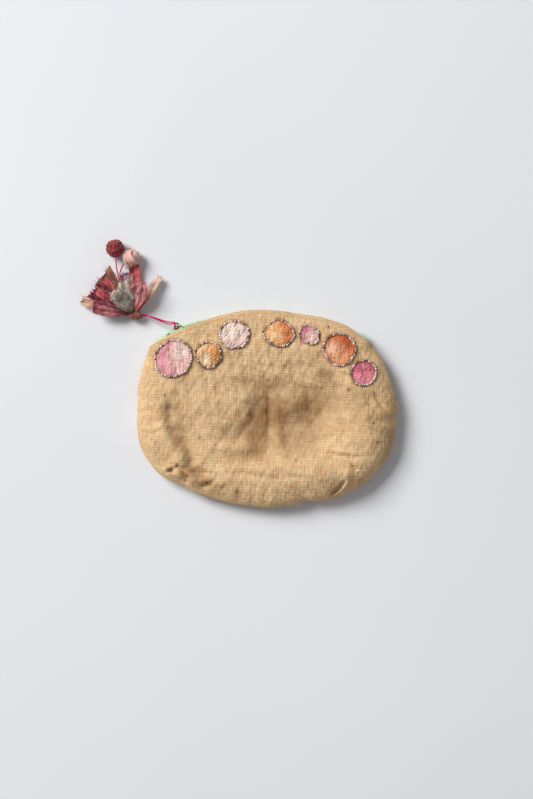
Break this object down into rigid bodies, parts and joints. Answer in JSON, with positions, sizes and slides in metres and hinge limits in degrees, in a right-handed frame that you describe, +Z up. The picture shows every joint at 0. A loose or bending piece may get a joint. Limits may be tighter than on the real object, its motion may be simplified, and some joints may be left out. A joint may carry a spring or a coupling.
{
  "type": "small zipped cloth pouch",
  "caption": "Flat rounded linen pouch with a curved zip along its top, bead-edged round silk patches below it and a cloth flower with two buds on the slider.",
  "frame": {"origin": "on the table under the middle of the pouch, without the thread and the flower", "axes": "+Z up from the back panel to the front panel, +Y towards the zip, +X to the right seen from the front"},
  "size_m": [0.2202, 0.1856, 0.0218],
  "materials": {
    "linen": "coarse plain weave",
    "lining_cloth": "plain weave",
    "zip_tape": "woven tape",
    "zip_coil": "moulded",
    "stop_metal": "pressed",
    "mint_enamel": "gloss enamel",
    "seed_beads": "lined, glossy, opaque",
    "crimson_thread": "twisted",
    "binding_cloth": "wrapped cloth",
    "bud_yarn": "knotted yarn",
    "bud_cloth": "wrapped cloth",
    "silk_pink": "crumpled silk",
    "silk_orange": "crumpled silk",
    "silk_cream": "crumpled silk",
    "silk_rust": "crumpled silk",
    "silk_magenta": "crumpled silk",
    "petal_rose": "frayed cloth",
    "petal_tan": "frayed cloth",
    "petal_plum": "frayed cloth",
    "petal_crimson": "frayed cloth",
    "petal_wine": "frayed cloth",
    "petal_coral": "frayed cloth",
    "petal_brown": "frayed cloth",
    "petal_sage": "frayed cloth",
    "petal_mauve": "frayed cloth",
    "petal_red": "frayed cloth",
    "petal_pink": "frayed cloth",
    "petal_salmon": "frayed cloth"
  },
  "bodies": {
    "pouch": {"front_panel": "linen", "back_panel": "linen", "front_lining": "lining_cloth", "back_lining": "lining_cloth", "zip_tape_front": "zip_tape", "zip_tape_back": "zip_tape", "zip_coil_front": "zip_coil", "zip_coil_back": "zip_coil", "zip_top_stop_front": "stop_metal", "zip_top_stop_back": "stop_metal", "zip_bottom_stop": "stop_metal", "dot_pink_large": "silk_pink", "beads_pink_large": "seed_beads", "dot_orange_small": "silk_orange", "beads_orange_small": "seed_beads", "dot_pale_pink": "silk_cream", "beads_pale_pink": "seed_beads", "dot_orange": "silk_orange", "beads_orange": "seed_beads", "dot_pink_small": "silk_pink", "beads_pink_small": "seed_beads", "dot_rust": "silk_rust", "beads_rust": "seed_beads", "dot_magenta": "silk_magenta", "beads_magenta": "seed_beads"},
    "slider": {"zip_slider": "mint_enamel", "thread_loop": "crimson_thread", "thread_red": "crimson_thread", "thread_peach": "crimson_thread", "flower_binding": "binding_cloth", "petal_rose": "petal_rose", "petal_tan": "petal_tan", "petal_plum": "petal_plum", "petal_crimson": "petal_crimson", "petal_wine": "petal_wine", "petal_coral": "petal_coral", "petal_brown": "petal_brown", "petal_sage_left": "petal_sage", "petal_mauve": "petal_mauve", "petal_sage_right": "petal_sage", "petal_red": "petal_red", "petal_pink": "petal_pink", "petal_salmon": "petal_salmon", "bud_red": "bud_yarn", "bud_peach": "bud_cloth"}
  },
  "joints": [
    {"name": "zip_slide", "type": "hinge", "parent": "pouch", "child": "slider", "pos_m": [-0.0026, -0.0844, 0.008], "axis": [0, 0, -1], "range_deg": [0, 47], "deforming": ["zip_coil_front", "zip_coil_back"]}
  ]
}
